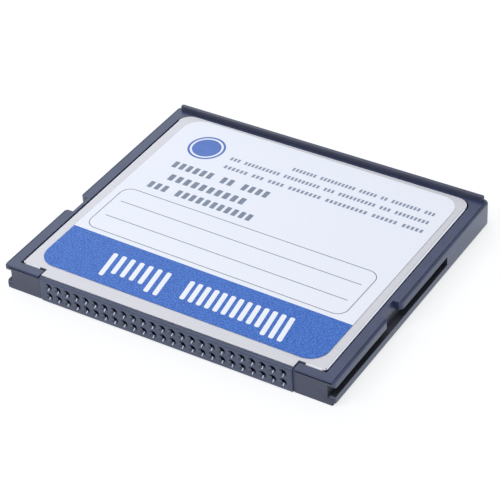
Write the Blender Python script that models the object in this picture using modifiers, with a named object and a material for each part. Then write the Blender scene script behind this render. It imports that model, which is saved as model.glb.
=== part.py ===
"""Compact flash card at rest: a moulded frame, two steel covers, a socket header with its contacts, a label
and the circuit board inside. Metres, +Z up, the sockets at -Y. The bottom cover rests on Z = 0."""

import math

import bmesh
import bpy
from mathutils import Matrix, Vector

MM = 0.001

# Card, as the format's drawing gives it. The thickness is that of the rails.
CARD_WIDTH = 42.80 * MM
CARD_LENGTH = 36.40 * MM
CARD_THICKNESS = 3.30 * MM

# Clearances
FIT = 0.04 * MM
SIDE_GAP = 0.15 * MM
HEADER_SIDE_GAP = 0.16 * MM
LEDGE_GAP = 0.06 * MM
SOLDER = 0.02 * MM
GLUE = 0.01 * MM
OVERSHOOT = 1.00 * MM
SINK = 0.05 * MM

# Frame
RAIL_WIDTH = 1.50 * MM
REAR_RAIL_DEPTH = 1.06 * MM
FRAME_CORNER_RADIUS = 0.50 * MM
FRAME_SIDE_ROUND = 0.28 * MM
FRAME_BOTTOM_ROUND = 0.12 * MM
FRAME_END_ROUND = 0.12 * MM
RETURN_DEPTH = 1.28 * MM
RETURN_LIP_FRONT = 0.10 * MM
RETURN_LIP_HEIGHT = 0.22 * MM
RETURN_FACE_FRONT = 0.22 * MM
POCKET_CORNER_RADIUS = 1.75 * MM
LEDGE_WIDTH = 1.30 * MM
LEDGE_THICKNESS = 0.24 * MM
RIDGE_INSET = 0.57 * MM
RIDGE_DEPTH = 0.78 * MM
RIDGE_DRAFT = 0.16 * MM
RIDGE_RISE = 0.55 * MM
RIDGE_ROUND = 0.10 * MM
RIDGE_END_RADIUS = 0.25 * MM
GROOVE_DEPTH = 0.85 * MM
GROOVE_LENGTH = 25.78 * MM
GROOVE_TOP_DROP = 1.01 * MM
GROOVE_LEAD_IN = 0.50 * MM
RIGHT_GROOVE_BOTTOM_DROP = 2.15 * MM
LEFT_GROOVE_BOTTOM_DROP = 2.44 * MM
NOTCH_START = 12.00 * MM
NOTCH_LENGTH = 3.00 * MM
NOTCH_TOP_DEPTH = 1.10 * MM
NOTCH_CORNER_RADIUS = 0.55 * MM

# Socket header. A card too narrow for all the columns has as many as fit between its sides.
FORMAT_COLUMNS = 25
SOCKET_PITCH = 1.27 * MM
SOCKET_MOUTH_RADIUS = 0.50 * MM
SOCKET_BORE_RADIUS = 0.31 * MM
SOCKET_MOUTH_DEPTH = 0.34 * MM
SOCKET_SIDES = 12
SOCKET_SIDE_MARGIN = 6.00 * MM
HEADER_END_WALL = 1.18 * MM
HEADER_DEPTH = 5.40 * MM
HEADER_RIM_DEPTH = 0.40 * MM
HEADER_RIM_INSET = 0.05 * MM
HEADER_RIM_TOP_ROUND = 0.30 * MM
HEADER_RIM_BOTTOM_ROUND = 0.12 * MM
HEADER_RIM_END_ROUND = 0.15 * MM

# Contacts
CONTACT_WIDTH = 0.22 * MM
CONTACT_METAL = 0.10 * MM
CONTACT_START = 0.85 * MM
CONTACT_HALF_HEIGHT = 0.25 * MM
CONTACT_PINCH = 0.18 * MM
CONTACT_ROOT = 3.20 * MM
TAIL_STEP = 0.15 * MM
TAIL_LENGTH = 0.80 * MM

# Steel covers
COVER_METAL = 0.20 * MM
COVER_PROUD = 0.06 * MM
COVER_BEND_INNER_RADIUS = 0.06 * MM
COVER_BEND_STEPS = 4
COVER_TAB_DEPTH = 0.22 * MM
COVER_TAB_LENGTH = 2.60 * MM
COVER_TABS = 4
COVER_RELIEF_WIDTH = 0.90 * MM
COVER_SLOT = 0.08 * MM
COVER_FRONT_CORNER = 0.36 * MM
SIDE_FLANGE_SETBACK = 0.52 * MM

# Label
LABEL_THICKNESS = 0.05 * MM
LABEL_SIDE_BORDER = 1.15 * MM
LABEL_FRONT_BORDER = 1.65 * MM
LABEL_REAR_BORDER = 0.29 * MM
LABEL_SHIFT = 0.20 * MM
LABEL_TURN_DEG = -0.75
LABEL_CORNER_RADIUS = 2.30 * MM
BANNER_LENGTH = 7.30 * MM

# Board and what is soldered to it
BOARD_THICKNESS = 0.80 * MM
BOARD_SIDE_GAP = 0.75 * MM
BOARD_REAR_GAP = 0.74 * MM
BOARD_HEADER_GAP = 0.25 * MM
BOARD_CORNER_RADIUS = 1.00 * MM
CHIP_HEADROOM = 0.20 * MM
CHIP_EDGE_ROUND = 0.10 * MM
FLASH_WIDTH = 12.00 * MM
FLASH_LENGTH = 18.40 * MM
FLASH_REAR_MARGIN = 2.80 * MM
UPPER_FLASH_X = 8.60 * MM
LOWER_FLASH_X = -7.40 * MM
FLASH_LEADS = 24
CONTROLLER_SIDE = 10.00 * MM
CONTROLLER_X = -8.60 * MM
CONTROLLER_FRONT_MARGIN = 5.55 * MM
CONTROLLER_LEADS = 16
LEAD_PITCH = 0.50 * MM
LEAD_WIDTH = 0.22 * MM
LEAD_METAL = 0.14 * MM
LEAD_REACH = 0.75 * MM
CRYSTAL_WIDTH = 3.20 * MM
CRYSTAL_LENGTH = 5.00 * MM
CRYSTAL_SIDE_MARGIN = 2.35 * MM
CRYSTAL_REAR_MARGIN = 1.20 * MM
PASSIVE_LENGTH = 1.00 * MM
PASSIVE_WIDTH = 0.55 * MM
PASSIVE_HEIGHT = 0.45 * MM
PASSIVE_STEP = 1.80 * MM
PASSIVE_SIDE_MARGIN = 1.55 * MM
PASSIVE_FRONT_MARGIN = 3.30 * MM
PASSIVE_REAR_MARGIN = 3.20 * MM
MIDDLE_PASSIVES_X = -0.80 * MM
MIDDLE_PASSIVES_MARGIN = 7.50 * MM

# Heights that follow from the stack: cover, rails, cover, with the board in the middle
RAIL_BOTTOM = COVER_PROUD
RAIL_TOP = RAIL_BOTTOM + CARD_THICKNESS
COVER_TOP = RAIL_TOP + COVER_PROUD
MIDDLE = COVER_TOP / 2
BOARD_BOTTOM = MIDDLE - BOARD_THICKNESS / 2
BOARD_TOP = MIDDLE + BOARD_THICKNESS / 2
LEDGE_TOP = BOARD_BOTTOM - SOLDER
LEDGE_BOTTOM = LEDGE_TOP - LEDGE_THICKNESS
INSIDE_BOTTOM = COVER_METAL
INSIDE_TOP = COVER_TOP - COVER_METAL
COVER_BEND_RADIUS = COVER_METAL + COVER_BEND_INNER_RADIUS
TAB_REACH = LEDGE_BOTTOM - LEDGE_GAP - COVER_BEND_RADIUS
FLANGE_REACH = TAB_REACH - COVER_TAB_DEPTH

# Widths and places that follow from the frame and the header
HALF_WIDTH = CARD_WIDTH / 2
POCKET_HALF_WIDTH = HALF_WIDTH - RAIL_WIDTH
POCKET_REAR = CARD_LENGTH - REAR_RAIL_DEPTH
SOCKET_COLUMNS = min(FORMAT_COLUMNS, int((CARD_WIDTH - 2 * SOCKET_SIDE_MARGIN) / SOCKET_PITCH) + 1)
HEADER_HALF_WIDTH = SOCKET_PITCH * (SOCKET_COLUMNS - 1) / 2 + HEADER_END_WALL
RETURN_INNER = HEADER_HALF_WIDTH + HEADER_SIDE_GAP
COVER_HALF_WIDTH = POCKET_HALF_WIDTH - SIDE_GAP
COVER_FLAT_HALF_WIDTH = COVER_HALF_WIDTH - COVER_BEND_RADIUS
COVER_FRONT = HEADER_RIM_DEPTH + SINK
COVER_SHOULDER = RETURN_DEPTH + FIT
COVER_REAR = POCKET_REAR - SIDE_GAP
COVER_CORNER_RADIUS = POCKET_CORNER_RADIUS - SIDE_GAP
TONGUE_HALF_WIDTH = HEADER_HALF_WIDTH - FIT
FRONT_FLANGE_INNER = TONGUE_HALF_WIDTH + COVER_RELIEF_WIDTH
FRONT_FLANGE_OUTER = COVER_HALF_WIDTH - FIT - COVER_FRONT_CORNER - COVER_SLOT
SIDE_FLANGE_START = RETURN_DEPTH + SIDE_FLANGE_SETBACK
SIDE_FLANGE_END = COVER_REAR - COVER_CORNER_RADIUS - FIT
HEADER_EAR_HALF_WIDTH = FRONT_FLANGE_INNER - FIT
BOARD_HALF_WIDTH = POCKET_HALF_WIDTH - BOARD_SIDE_GAP
BOARD_FRONT = HEADER_DEPTH + BOARD_HEADER_GAP
BOARD_REAR = POCKET_REAR - BOARD_REAR_GAP
LEFT, RIGHT = -1, 1


def from_front(distance):
    """Y of a place this far behind the sockets' face."""
    return distance - CARD_LENGTH / 2


def clear_scene():
    """Removes whatever the scene starts with."""
    for obj in list(bpy.data.objects):
        bpy.data.objects.remove(obj)


def new_collection(name):
    """A collection linked under the scene."""
    collection = bpy.data.collections.new(name)
    bpy.context.scene.collection.children.link(collection)
    return collection


def make_material(name, colour, roughness, metallic):
    """A Principled BSDF material of one colour."""
    material = bpy.data.materials.new(name)
    material.use_nodes = True
    shader = material.node_tree.nodes["Principled BSDF"]
    shader.inputs["Base Color"].default_value = (*colour, 1)
    shader.inputs["Roughness"].default_value = roughness
    shader.inputs["Metallic"].default_value = metallic
    return material


def add_part(name, bm, materials, collection):
    """Turns a bmesh into an object of the collection."""
    bmesh.ops.recalc_face_normals(bm, faces=bm.faces)
    mesh = bpy.data.meshes.new(name)
    bm.to_mesh(mesh)
    bm.free()
    for material in materials:
        mesh.materials.append(material)
    part = bpy.data.objects.new(name, mesh)
    collection.objects.link(part)
    return part


def add_cutter(name, bm, cutters):
    """A helper that only a Boolean uses."""
    cutter = add_part(name, bm, [], cutters)
    cutter.hide_render = True
    cutter.display_type = "WIRE"
    return cutter


def add_boolean(part, other, operation):
    """Cuts another mesh from a part or joins it on."""
    modifier = part.modifiers.new(operation.title() + " " + other.name, "BOOLEAN")
    modifier.operation = operation
    modifier.solver = "EXACT"
    modifier.object = other


def arc_points(centre, radius, start_deg, end_deg, steps):
    """Points of an arc in the plane, both ends included."""
    points = []
    for step in range(steps + 1):
        angle = math.radians(start_deg + (end_deg - start_deg) * step / steps)
        points.append((centre[0] + radius * math.cos(angle), centre[1] + radius * math.sin(angle)))
    return points


def rounded_box_outline(x0, x1, y0, y1, front_radius, rear_radius, steps):
    """An upright rectangle's outline, seen from above and counter-clockwise, with round corners."""
    outline = arc_points((x1 - front_radius, y0 + front_radius), front_radius, 270, 360, steps)
    outline += arc_points((x1 - rear_radius, y1 - rear_radius), rear_radius, 0, 90, steps)
    outline += arc_points((x0 + rear_radius, y1 - rear_radius), rear_radius, 90, 180, steps)
    outline += arc_points((x0 + front_radius, y0 + front_radius), front_radius, 180, 270, steps)
    return outline


def extrude_outline(bm, points, offset):
    """Makes a face of 3-D points and extrudes it by an offset into a closed body."""
    face = bm.faces.new([bm.verts.new(point) for point in points])
    grown = bmesh.ops.extrude_face_region(bm, geom=[face])["geom"]
    moved = [item for item in grown if isinstance(item, bmesh.types.BMVert)]
    bmesh.ops.translate(bm, verts=moved, vec=offset)


def loft(bm, rings):
    """Adds a closed body through rings of points, each ring as long as the next."""
    rings = [[bm.verts.new(point) for point in ring] for ring in rings]
    for near, far in zip(rings, rings[1:]):
        for index, vert in enumerate(near):
            following = (index + 1) % len(near)
            bm.faces.new((vert, near[following], far[following], far[index]))
    bm.faces.new(rings[0])
    bm.faces.new(rings[-1])


def plate(outline, z0, z1):
    """A bmesh body of a plan outline between two heights."""
    bm = bmesh.new()
    extrude_outline(bm, [(x, y, z0) for x, y in outline], (0, 0, z1 - z0))
    return bm


def add_box(bm, x0, x1, y0, y1, z0, z1):
    """Adds a box to a bmesh and gives its vertices."""
    size = Matrix.Diagonal((x1 - x0, y1 - y0, z1 - z0, 1))
    centre = Matrix.Translation(((x0 + x1) / 2, (y0 + y1) / 2, (z0 + z1) / 2))
    return bmesh.ops.create_cube(bm, size=1, matrix=centre @ size)["verts"]


def box(x0, x1, y0, y1, z0, z1):
    """A bmesh that holds one box."""
    bm = bmesh.new()
    add_box(bm, x0, x1, y0, y1, z0, z1)
    return bm


def round_edges(bm, edges, radius, segments):
    """Rounds edges with an arc."""
    bmesh.ops.bevel(
        bm, geom=edges, offset=radius, segments=segments, profile=0.5, affect="EDGES", material=-1
    )


def edges_at_height(bm, height):
    """The edges that lie flat at a height."""
    return [edge for edge in bm.edges if all(abs(vert.co.z - height) < SOLDER for vert in edge.verts)]


def upright_edges(bm):
    """The edges that stand straight up."""
    return [edge for edge in bm.edges if (edge.verts[0].co - edge.verts[1].co).xy.length < SOLDER]


def rounded_inset(radius, drop):
    """How far an edge rounded by a radius stands back, this far below the flat above it."""
    rise = max(radius - drop, 0)
    return radius - math.sqrt(radius * radius - rise * rise)


def rounding_drops(radius):
    """How far below the flat each ring of a rounded edge lies."""
    return [radius * (1 - math.cos(math.radians(22.5 * step))) for step in range(5)]


def frame_blank():
    """The frame's outer block. Its long upper side edges are rounded more than all its other edges."""
    upper_drops = rounding_drops(FRAME_SIDE_ROUND)
    upper_drops.append((upper_drops[-2] + FRAME_END_ROUND) / 2)
    lower_drops = rounding_drops(FRAME_BOTTOM_ROUND)
    levels = [(RAIL_BOTTOM + drop, drop, FRAME_BOTTOM_ROUND) for drop in lower_drops]
    levels += [(RAIL_TOP - drop, drop, FRAME_SIDE_ROUND) for drop in sorted(upper_drops, reverse=True)]
    rings = []
    for height, drop, side_round in levels:
        side = HALF_WIDTH - rounded_inset(side_round, drop)
        end = rounded_inset(FRAME_END_ROUND, drop)
        outline = rounded_box_outline(
            -side, side, from_front(RETURN_LIP_FRONT) + end, from_front(CARD_LENGTH) - end,
            FRAME_CORNER_RADIUS, FRAME_CORNER_RADIUS, 5,
        )
        rings.append([(x, y, height) for x, y in outline])
    bm = bmesh.new()
    loft(bm, rings)
    return bm


def rear_ridge():
    """The finger ridge that stands on the rear rail, its front face leaning back."""
    half = HALF_WIDTH - RIDGE_INSET
    rear = from_front(CARD_LENGTH)
    top = RAIL_TOP + RIDGE_RISE
    root = RAIL_TOP - FRAME_SIDE_ROUND
    bm = box(-half, half, rear - RIDGE_DEPTH, rear - SINK, root, top)
    round_edges(bm, upright_edges(bm), RIDGE_END_RADIUS, 4)
    for vert in bm.verts:
        if vert.co.z > RAIL_TOP and vert.co.y < rear - RIDGE_DEPTH + RIDGE_END_RADIUS + GLUE:
            vert.co.y += RIDGE_DRAFT
    round_edges(bm, edges_at_height(bm, top), RIDGE_ROUND, 2)
    return bm


def window_cutter():
    """The hole through the frame: it clears the header's ears in front and leaves a ledge round the board."""
    front_half = HEADER_EAR_HALF_WIDTH + FIT
    half = POCKET_HALF_WIDTH - LEDGE_WIDTH
    front = from_front(RETURN_DEPTH)
    step = from_front(BOARD_FRONT) - FIT
    rear = from_front(POCKET_REAR) - LEDGE_WIDTH
    outline = [(-front_half, front), (front_half, front), (front_half, step), (half, step)]
    outline += arc_points((half - LEDGE_WIDTH, rear - LEDGE_WIDTH), LEDGE_WIDTH, 0, 90, 4)
    outline += arc_points((LEDGE_WIDTH - half, rear - LEDGE_WIDTH), LEDGE_WIDTH, 90, 180, 4)
    outline += [(-half, step), (-front_half, step)]
    return plate(outline, -OVERSHOOT, COVER_TOP + OVERSHOOT)


def pocket_cutter(z0, z1):
    """The shallow pocket that a cover drops into."""
    outline = rounded_box_outline(
        -POCKET_HALF_WIDTH, POCKET_HALF_WIDTH, from_front(RETURN_DEPTH), from_front(POCKET_REAR),
        SIDE_GAP, POCKET_CORNER_RADIUS, 6,
    )
    return plate(outline, z0, z1)


def groove_cutter(side, bottom_drop):
    """A guide groove, open at the front, where both its edges are rounded to lead the slot's rails in. The
    two grooves differ in height, so the card fits one way up."""
    top = RAIL_TOP - GROOVE_TOP_DROP
    bottom = RAIL_TOP - bottom_drop
    face = from_front(RETURN_FACE_FRONT)
    end = from_front(GROOVE_LENGTH)
    before = from_front(-OVERSHOOT)
    radius = GROOVE_LEAD_IN
    profile = [(end, bottom), (end, top)]
    profile += arc_points((face + radius, top + radius), radius, 270, 180, 4)
    profile += [(before, top + radius), (before, bottom - radius)]
    profile += arc_points((face + radius, bottom - radius), radius, 180, 90, 4)
    inner = side * (HALF_WIDTH - GROOVE_DEPTH)
    bm = bmesh.new()
    extrude_outline(bm, [(inner, y, z) for y, z in profile], (side * (GROOVE_DEPTH + OVERSHOOT), 0, 0))
    return bm


def notch_outline(side, depth):
    """A notch's plan: round inner corners, and a mouth whose corners flare outwards."""
    radius = NOTCH_CORNER_RADIUS
    wall = HALF_WIDTH - depth
    start = from_front(NOTCH_START)
    end = start + NOTCH_LENGTH
    outline = [(HALF_WIDTH + OVERSHOOT, start - radius)]
    outline += arc_points((HALF_WIDTH - radius, start - radius), radius, 0, 90, 4)
    outline += [(wall, start), (wall, end)]
    outline += arc_points((HALF_WIDTH - radius, end + radius), radius, 270, 360, 4)
    outline += [(HALF_WIDTH + OVERSHOOT, end + radius)]
    return [(side * x, y) for x, y in outline]


def notch_cutter(side):
    """A notch through the upper flange. Its inner wall leans out from the top face to the groove's floor."""
    rings = []
    for height, depth in (
        (RAIL_TOP - GROOVE_TOP_DROP - SINK, GROOVE_DEPTH),
        (RAIL_TOP, NOTCH_TOP_DEPTH),
        (RAIL_TOP + OVERSHOOT, NOTCH_TOP_DEPTH),
    ):
        rings.append([(x, y, height) for x, y in notch_outline(side, depth)])
    bm = bmesh.new()
    loft(bm, rings)
    return bm


def front_step_cutter():
    """What sets the returns' front face back below their top lip."""
    return box(
        -HALF_WIDTH - OVERSHOOT, HALF_WIDTH + OVERSHOOT,
        from_front(-OVERSHOOT), from_front(RETURN_FACE_FRONT),
        -OVERSHOOT, RAIL_TOP - RETURN_LIP_HEIGHT,
    )


def header_slot_cutter():
    """The opening between the two returns, for the header."""
    return box(
        -RETURN_INNER, RETURN_INNER, from_front(-OVERSHOOT), from_front(RETURN_DEPTH) + SINK,
        -OVERSHOOT, COVER_TOP + OVERSHOOT,
    )


def make_frame(collection, cutters):
    """The moulded frame that everything else sits in."""
    plastic = make_material("frame plastic", (0.045, 0.050, 0.072), 0.42, 0.0)
    frame = add_part("frame", frame_blank(), [plastic], collection)
    add_boolean(frame, add_cutter("ridge blank", rear_ridge(), cutters), "UNION")
    for name, shape in (
        ("window cutter", window_cutter()),
        ("upper pocket cutter", pocket_cutter(LEDGE_TOP, COVER_TOP + OVERSHOOT)),
        ("lower pocket cutter", pocket_cutter(-OVERSHOOT, LEDGE_BOTTOM)),
        ("header slot cutter", header_slot_cutter()),
        ("front step cutter", front_step_cutter()),
        ("left groove cutter", groove_cutter(LEFT, LEFT_GROOVE_BOTTOM_DROP)),
        ("right groove cutter", groove_cutter(RIGHT, RIGHT_GROOVE_BOTTOM_DROP)),
        ("left notch cutter", notch_cutter(LEFT)),
        ("right notch cutter", notch_cutter(RIGHT)),
    ):
        add_boolean(frame, add_cutter(name, shape, cutters), "DIFFERENCE")


def header_block():
    """The header's solid shape from the side: a tall rim in front of a body that fits between the covers."""
    front = from_front(0)
    rim_back = from_front(HEADER_RIM_DEPTH)
    rear = from_front(HEADER_DEPTH)
    low = INSIDE_BOTTOM + SOLDER
    high = INSIDE_TOP - SOLDER
    rim_low = RAIL_BOTTOM + HEADER_RIM_INSET
    rim_high = RAIL_TOP - HEADER_RIM_INSET
    toe = HEADER_RIM_BOTTOM_ROUND
    brow = HEADER_RIM_TOP_ROUND
    profile = arc_points((front + toe, rim_low + toe), toe, 270, 180, 3)
    profile += arc_points((front + brow, rim_high - brow), brow, 180, 90, 5)
    profile += [(rim_back, rim_high), (rim_back, high), (rear, high), (rear, low)]
    profile += [(rim_back, low), (rim_back, rim_low)]
    bm = bmesh.new()
    points = [(-HEADER_HALF_WIDTH, y, z) for y, z in profile]
    extrude_outline(bm, points, (2 * HEADER_HALF_WIDTH, 0, 0))
    return bm


def header_ears():
    """The bar across the header, whose ends sit behind the frame's returns."""
    half = HEADER_EAR_HALF_WIDTH
    return box(
        -half, half, from_front(RETURN_DEPTH) + FIT, from_front(HEADER_DEPTH) - SINK,
        INSIDE_BOTTOM + SOLDER + SINK, INSIDE_TOP - SOLDER - SINK,
    )


def socket_places():
    """Where each socket's axis is: column by column along X, lower row then upper."""
    first = -SOCKET_PITCH * (SOCKET_COLUMNS - 1) / 2
    return [
        (first + column * SOCKET_PITCH, MIDDLE + row * SOCKET_PITCH)
        for row in (-0.5, 0.5)
        for column in range(SOCKET_COLUMNS)
    ]


def socket_cutters():
    """All the sockets' bores with their funnel mouths, as one cutter."""
    slope = (SOCKET_MOUTH_RADIUS - SOCKET_BORE_RADIUS) / SOCKET_MOUTH_DEPTH
    clear = OVERSHOOT / 4
    stations = (
        (from_front(-clear), SOCKET_MOUTH_RADIUS + slope * clear),
        (from_front(SOCKET_MOUTH_DEPTH), SOCKET_BORE_RADIUS),
        (from_front(HEADER_DEPTH + OVERSHOOT), SOCKET_BORE_RADIUS),
    )
    half_side = 180 / SOCKET_SIDES
    bm = bmesh.new()
    for centre in socket_places():
        rings = []
        for y, radius in stations:
            circle = arc_points(centre, radius, half_side, half_side + 360, SOCKET_SIDES)[:-1]
            rings.append([(x, y, z) for x, z in circle])
        loft(bm, rings)
    return bm


def header_end_cutters():
    """What rounds the rim's two upright front corners, as one cutter."""
    radius = HEADER_RIM_END_ROUND
    front = from_front(0)
    outline = arc_points((HEADER_HALF_WIDTH - radius, front + radius), radius, 270, 360, 4)
    outline += [(HEADER_HALF_WIDTH + OVERSHOOT, front + radius)]
    outline += [(HEADER_HALF_WIDTH + OVERSHOOT, front - OVERSHOOT)]
    outline += [(HEADER_HALF_WIDTH - radius, front - OVERSHOOT)]
    bm = bmesh.new()
    for side in (LEFT, RIGHT):
        loft(bm, [[(side * x, y, z) for x, y in outline] for z in (-OVERSHOOT, COVER_TOP + OVERSHOOT)])
    return bm


def make_header(collection, cutters):
    """The socket header between the returns."""
    plastic = make_material("header plastic", (0.050, 0.055, 0.080), 0.48, 0.0)
    header = add_part("connector_header", header_block(), [plastic], collection)
    add_boolean(header, add_cutter("header ears blank", header_ears(), cutters), "UNION")
    add_boolean(header, add_cutter("rim corner cutters", header_end_cutters(), cutters), "DIFFERENCE")
    add_boolean(header, add_cutter("socket cutters", socket_cutters(), cutters), "DIFFERENCE")


def contact_profile(z, upper):
    """A contact's side view: two springy tines that pinch a pin, a root and a tail bent onto the board."""
    tip = from_front(CONTACT_START)
    root = from_front(CONTACT_ROOT)
    step = from_front(HEADER_DEPTH + TAIL_STEP)
    tail_end = step + TAIL_LENGTH
    half = CONTACT_HALF_HEIGHT
    metal = CONTACT_METAL
    pinch = tip + 2 * half
    pad = BOARD_TOP + SOLDER if upper else BOARD_BOTTOM - SOLDER - metal
    return [
        (tip, z - half),
        (pinch, z - CONTACT_PINCH),
        (root, z - half),
        (step - metal, z - metal / 2),
        (step + metal, pad),
        (tail_end, pad),
        (tail_end, pad + metal),
        (step + metal, pad + metal),
        (step - metal, z + metal / 2),
        (root, z + half),
        (pinch, z + CONTACT_PINCH),
        (tip, z + half),
        (tip, z + half - metal),
        (pinch, z + CONTACT_PINCH - metal),
        (root - metal, z + half - metal),
        (root - metal, z - half + metal),
        (pinch, z - CONTACT_PINCH + metal),
        (tip, z - half + metal),
    ]


def make_contacts(collection):
    """One contact to a socket. The contacts of a row share their mesh."""
    metal = make_material("contact plating", (0.80, 0.79, 0.76), 0.22, 1.0)
    places = socket_places()
    for row in range(2):
        x, z = places[row * SOCKET_COLUMNS]
        bm = bmesh.new()
        profile = contact_profile(z, row == 1)
        points = [(x - CONTACT_WIDTH / 2, y, height) for y, height in profile]
        extrude_outline(bm, points, (CONTACT_WIDTH, 0, 0))
        first = add_part(f"contact_{row * SOCKET_COLUMNS + 1:02d}", bm, [metal], collection)
        for column in range(1, SOCKET_COLUMNS):
            number = row * SOCKET_COLUMNS + column + 1
            copy = bpy.data.objects.new(f"contact_{number:02d}", first.data)
            copy.location.x = column * SOCKET_PITCH
            collection.objects.link(copy)


def cover_plan():
    """A cover's flat part from above, counter-clockwise. In front a tongue lies on the header, between two
    relief slots, and each shoulder has a straight stretch for its bent flange and a clipped corner."""
    flat = COVER_FLAT_HALF_WIDTH
    edge = COVER_HALF_WIDTH - FIT
    bend_line = from_front(COVER_SHOULDER) + COVER_BEND_RADIUS
    shoulder = from_front(COVER_SHOULDER)
    rear = from_front(COVER_REAR)
    corner = COVER_FRONT_CORNER
    right = [
        (TONGUE_HALF_WIDTH, from_front(COVER_FRONT)),
        (TONGUE_HALF_WIDTH, bend_line),
        (FRONT_FLANGE_INNER, bend_line),
        (FRONT_FLANGE_OUTER, bend_line),
        (FRONT_FLANGE_OUTER + COVER_SLOT / 2, bend_line),
        (FRONT_FLANGE_OUTER + COVER_SLOT / 2, shoulder),
    ]
    right += [
        (edge - corner, shoulder),
        (edge, shoulder + corner),
        (edge, from_front(SIDE_FLANGE_START) - COVER_SLOT),
        (flat, from_front(SIDE_FLANGE_START) - COVER_SLOT),
        (flat, from_front(SIDE_FLANGE_START)),
        (flat, from_front(SIDE_FLANGE_END)),
    ]
    round_off = COVER_CORNER_RADIUS
    right += arc_points((edge - round_off, rear - round_off), round_off, 0, 90, 6)
    left = [(-x, y) for x, y in reversed(right)]
    return right + left


def side_flange_edge():
    """The lower edge of a side flange as (distance from its front end, depth below the bend), with tabs."""
    length = SIDE_FLANGE_END - SIDE_FLANGE_START
    points = [(0, FLANGE_REACH)]
    for tab in range(COVER_TABS):
        middle = length * (tab + 0.5) / COVER_TABS
        near = middle - COVER_TAB_LENGTH / 2
        far = middle + COVER_TAB_LENGTH / 2
        points += [(near, FLANGE_REACH), (near + COVER_TAB_DEPTH, TAB_REACH)]
        points += [(far - COVER_TAB_DEPTH, TAB_REACH), (far, FLANGE_REACH)]
    points.append((length, FLANGE_REACH))
    return points


def cover_skin(outer, away):
    """A cover's outer skin as one sheet of faces: the flat part, four bends and four flanges. `away` is +1
    where the flat part faces up and -1 where it faces down."""
    bm = bmesh.new()
    verts = {}

    def vert_at(point):
        key = tuple(round(value / GLUE) for value in point)
        if key not in verts:
            verts[key] = bm.verts.new(point)
        return verts[key]

    def add_flange(start, along, outward, length, lower_edge):
        """A bend and a flange on the straight edge that runs from a plan point."""
        sections = []
        for across, rise in arc_points((0, 0), COVER_BEND_RADIUS, 90, 0, COVER_BEND_STEPS):
            drop = Vector((0, 0, away * (COVER_BEND_RADIUS - rise)))
            sections.append(start + outward * across - drop)
        for near, far in zip(sections, sections[1:]):
            corners = (near, near + along * length, far + along * length, far)
            bm.faces.new([vert_at(corner) for corner in corners])
        root = sections[-1]
        hem = [root + along * place - Vector((0, 0, away * depth)) for place, depth in lower_edge]
        bm.faces.new([vert_at(corner) for corner in (root + along * length, root, *hem)])

    bm.faces.new([vert_at((x, y, outer)) for x, y in cover_plan()])
    side_length = SIDE_FLANGE_END - SIDE_FLANGE_START
    front_length = FRONT_FLANGE_OUTER - FRONT_FLANGE_INNER
    bend_line = from_front(COVER_SHOULDER) + COVER_BEND_RADIUS
    backward, forward = Vector((0, 1, 0)), Vector((0, -1, 0))
    for side in (LEFT, RIGHT):
        outward = Vector((side, 0, 0))
        side_start = Vector((side * COVER_FLAT_HALF_WIDTH, from_front(SIDE_FLANGE_START), outer))
        add_flange(side_start, backward, outward, side_length, side_flange_edge())
        front_start = Vector((side * FRONT_FLANGE_INNER, bend_line, outer))
        plain_edge = [(0, FLANGE_REACH), (front_length, FLANGE_REACH)]
        add_flange(front_start, outward, forward, front_length, plain_edge)
    return bm


def make_cover(name, material, outer, away, collection):
    """A steel cover: a sheet with bent-down sides, thickened inwards."""
    cover = add_part(name, cover_skin(outer, away), [material], collection)
    if cover.data.polygons[0].normal.z * away < 0:
        cover.data.flip_normals()
    thicken = cover.modifiers.new("Sheet metal", "SOLIDIFY")
    thicken.thickness = COVER_METAL
    thicken.offset = -1
    thicken.use_even_offset = True


def make_covers(collection):
    """The upper and the lower cover."""
    upper = make_material("top cover steel", (0.78, 0.77, 0.79), 0.34, 1.0)
    lower = make_material("bottom cover steel", (0.70, 0.70, 0.72), 0.30, 1.0)
    make_cover("top_cover", upper, COVER_TOP, 1, collection)
    make_cover("bottom_cover", lower, 0.0, -1, collection)


def make_label(collection):
    """The paper label on the upper cover, with its coloured banner along the front. It is stuck on a little
    askew."""
    paper = make_material("label paper", (0.82, 0.85, 0.95), 0.55, 0.0)
    banner = make_material("label banner", (0.050, 0.170, 0.620), 0.50, 0.0)
    half = COVER_HALF_WIDTH - LABEL_SIDE_BORDER
    front = COVER_FRONT + LABEL_FRONT_BORDER
    rear = COVER_REAR - LABEL_REAR_BORDER - half * math.sin(math.radians(abs(LABEL_TURN_DEG)))
    half_length = (rear - front) / 2
    outline = rounded_box_outline(
        -half, half, -half_length, half_length, LABEL_CORNER_RADIUS, LABEL_CORNER_RADIUS, 6
    )
    bm = plate(outline, COVER_TOP + GLUE, COVER_TOP + GLUE + LABEL_THICKNESS)
    split = BANNER_LENGTH - half_length
    everything = bm.verts[:] + bm.edges[:] + bm.faces[:]
    bmesh.ops.bisect_plane(bm, geom=everything, plane_co=(0, split, 0), plane_no=(0, 1, 0))
    for face in bm.faces:
        face.material_index = int(face.calc_center_median().y < split)
    turn = Matrix.Rotation(math.radians(LABEL_TURN_DEG), 4, "Z")
    place = Matrix.Translation((LABEL_SHIFT, from_front((front + rear) / 2), 0))
    bmesh.ops.transform(bm, matrix=place @ turn, verts=bm.verts)
    add_part("label", bm, [paper, banner], collection)


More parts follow.
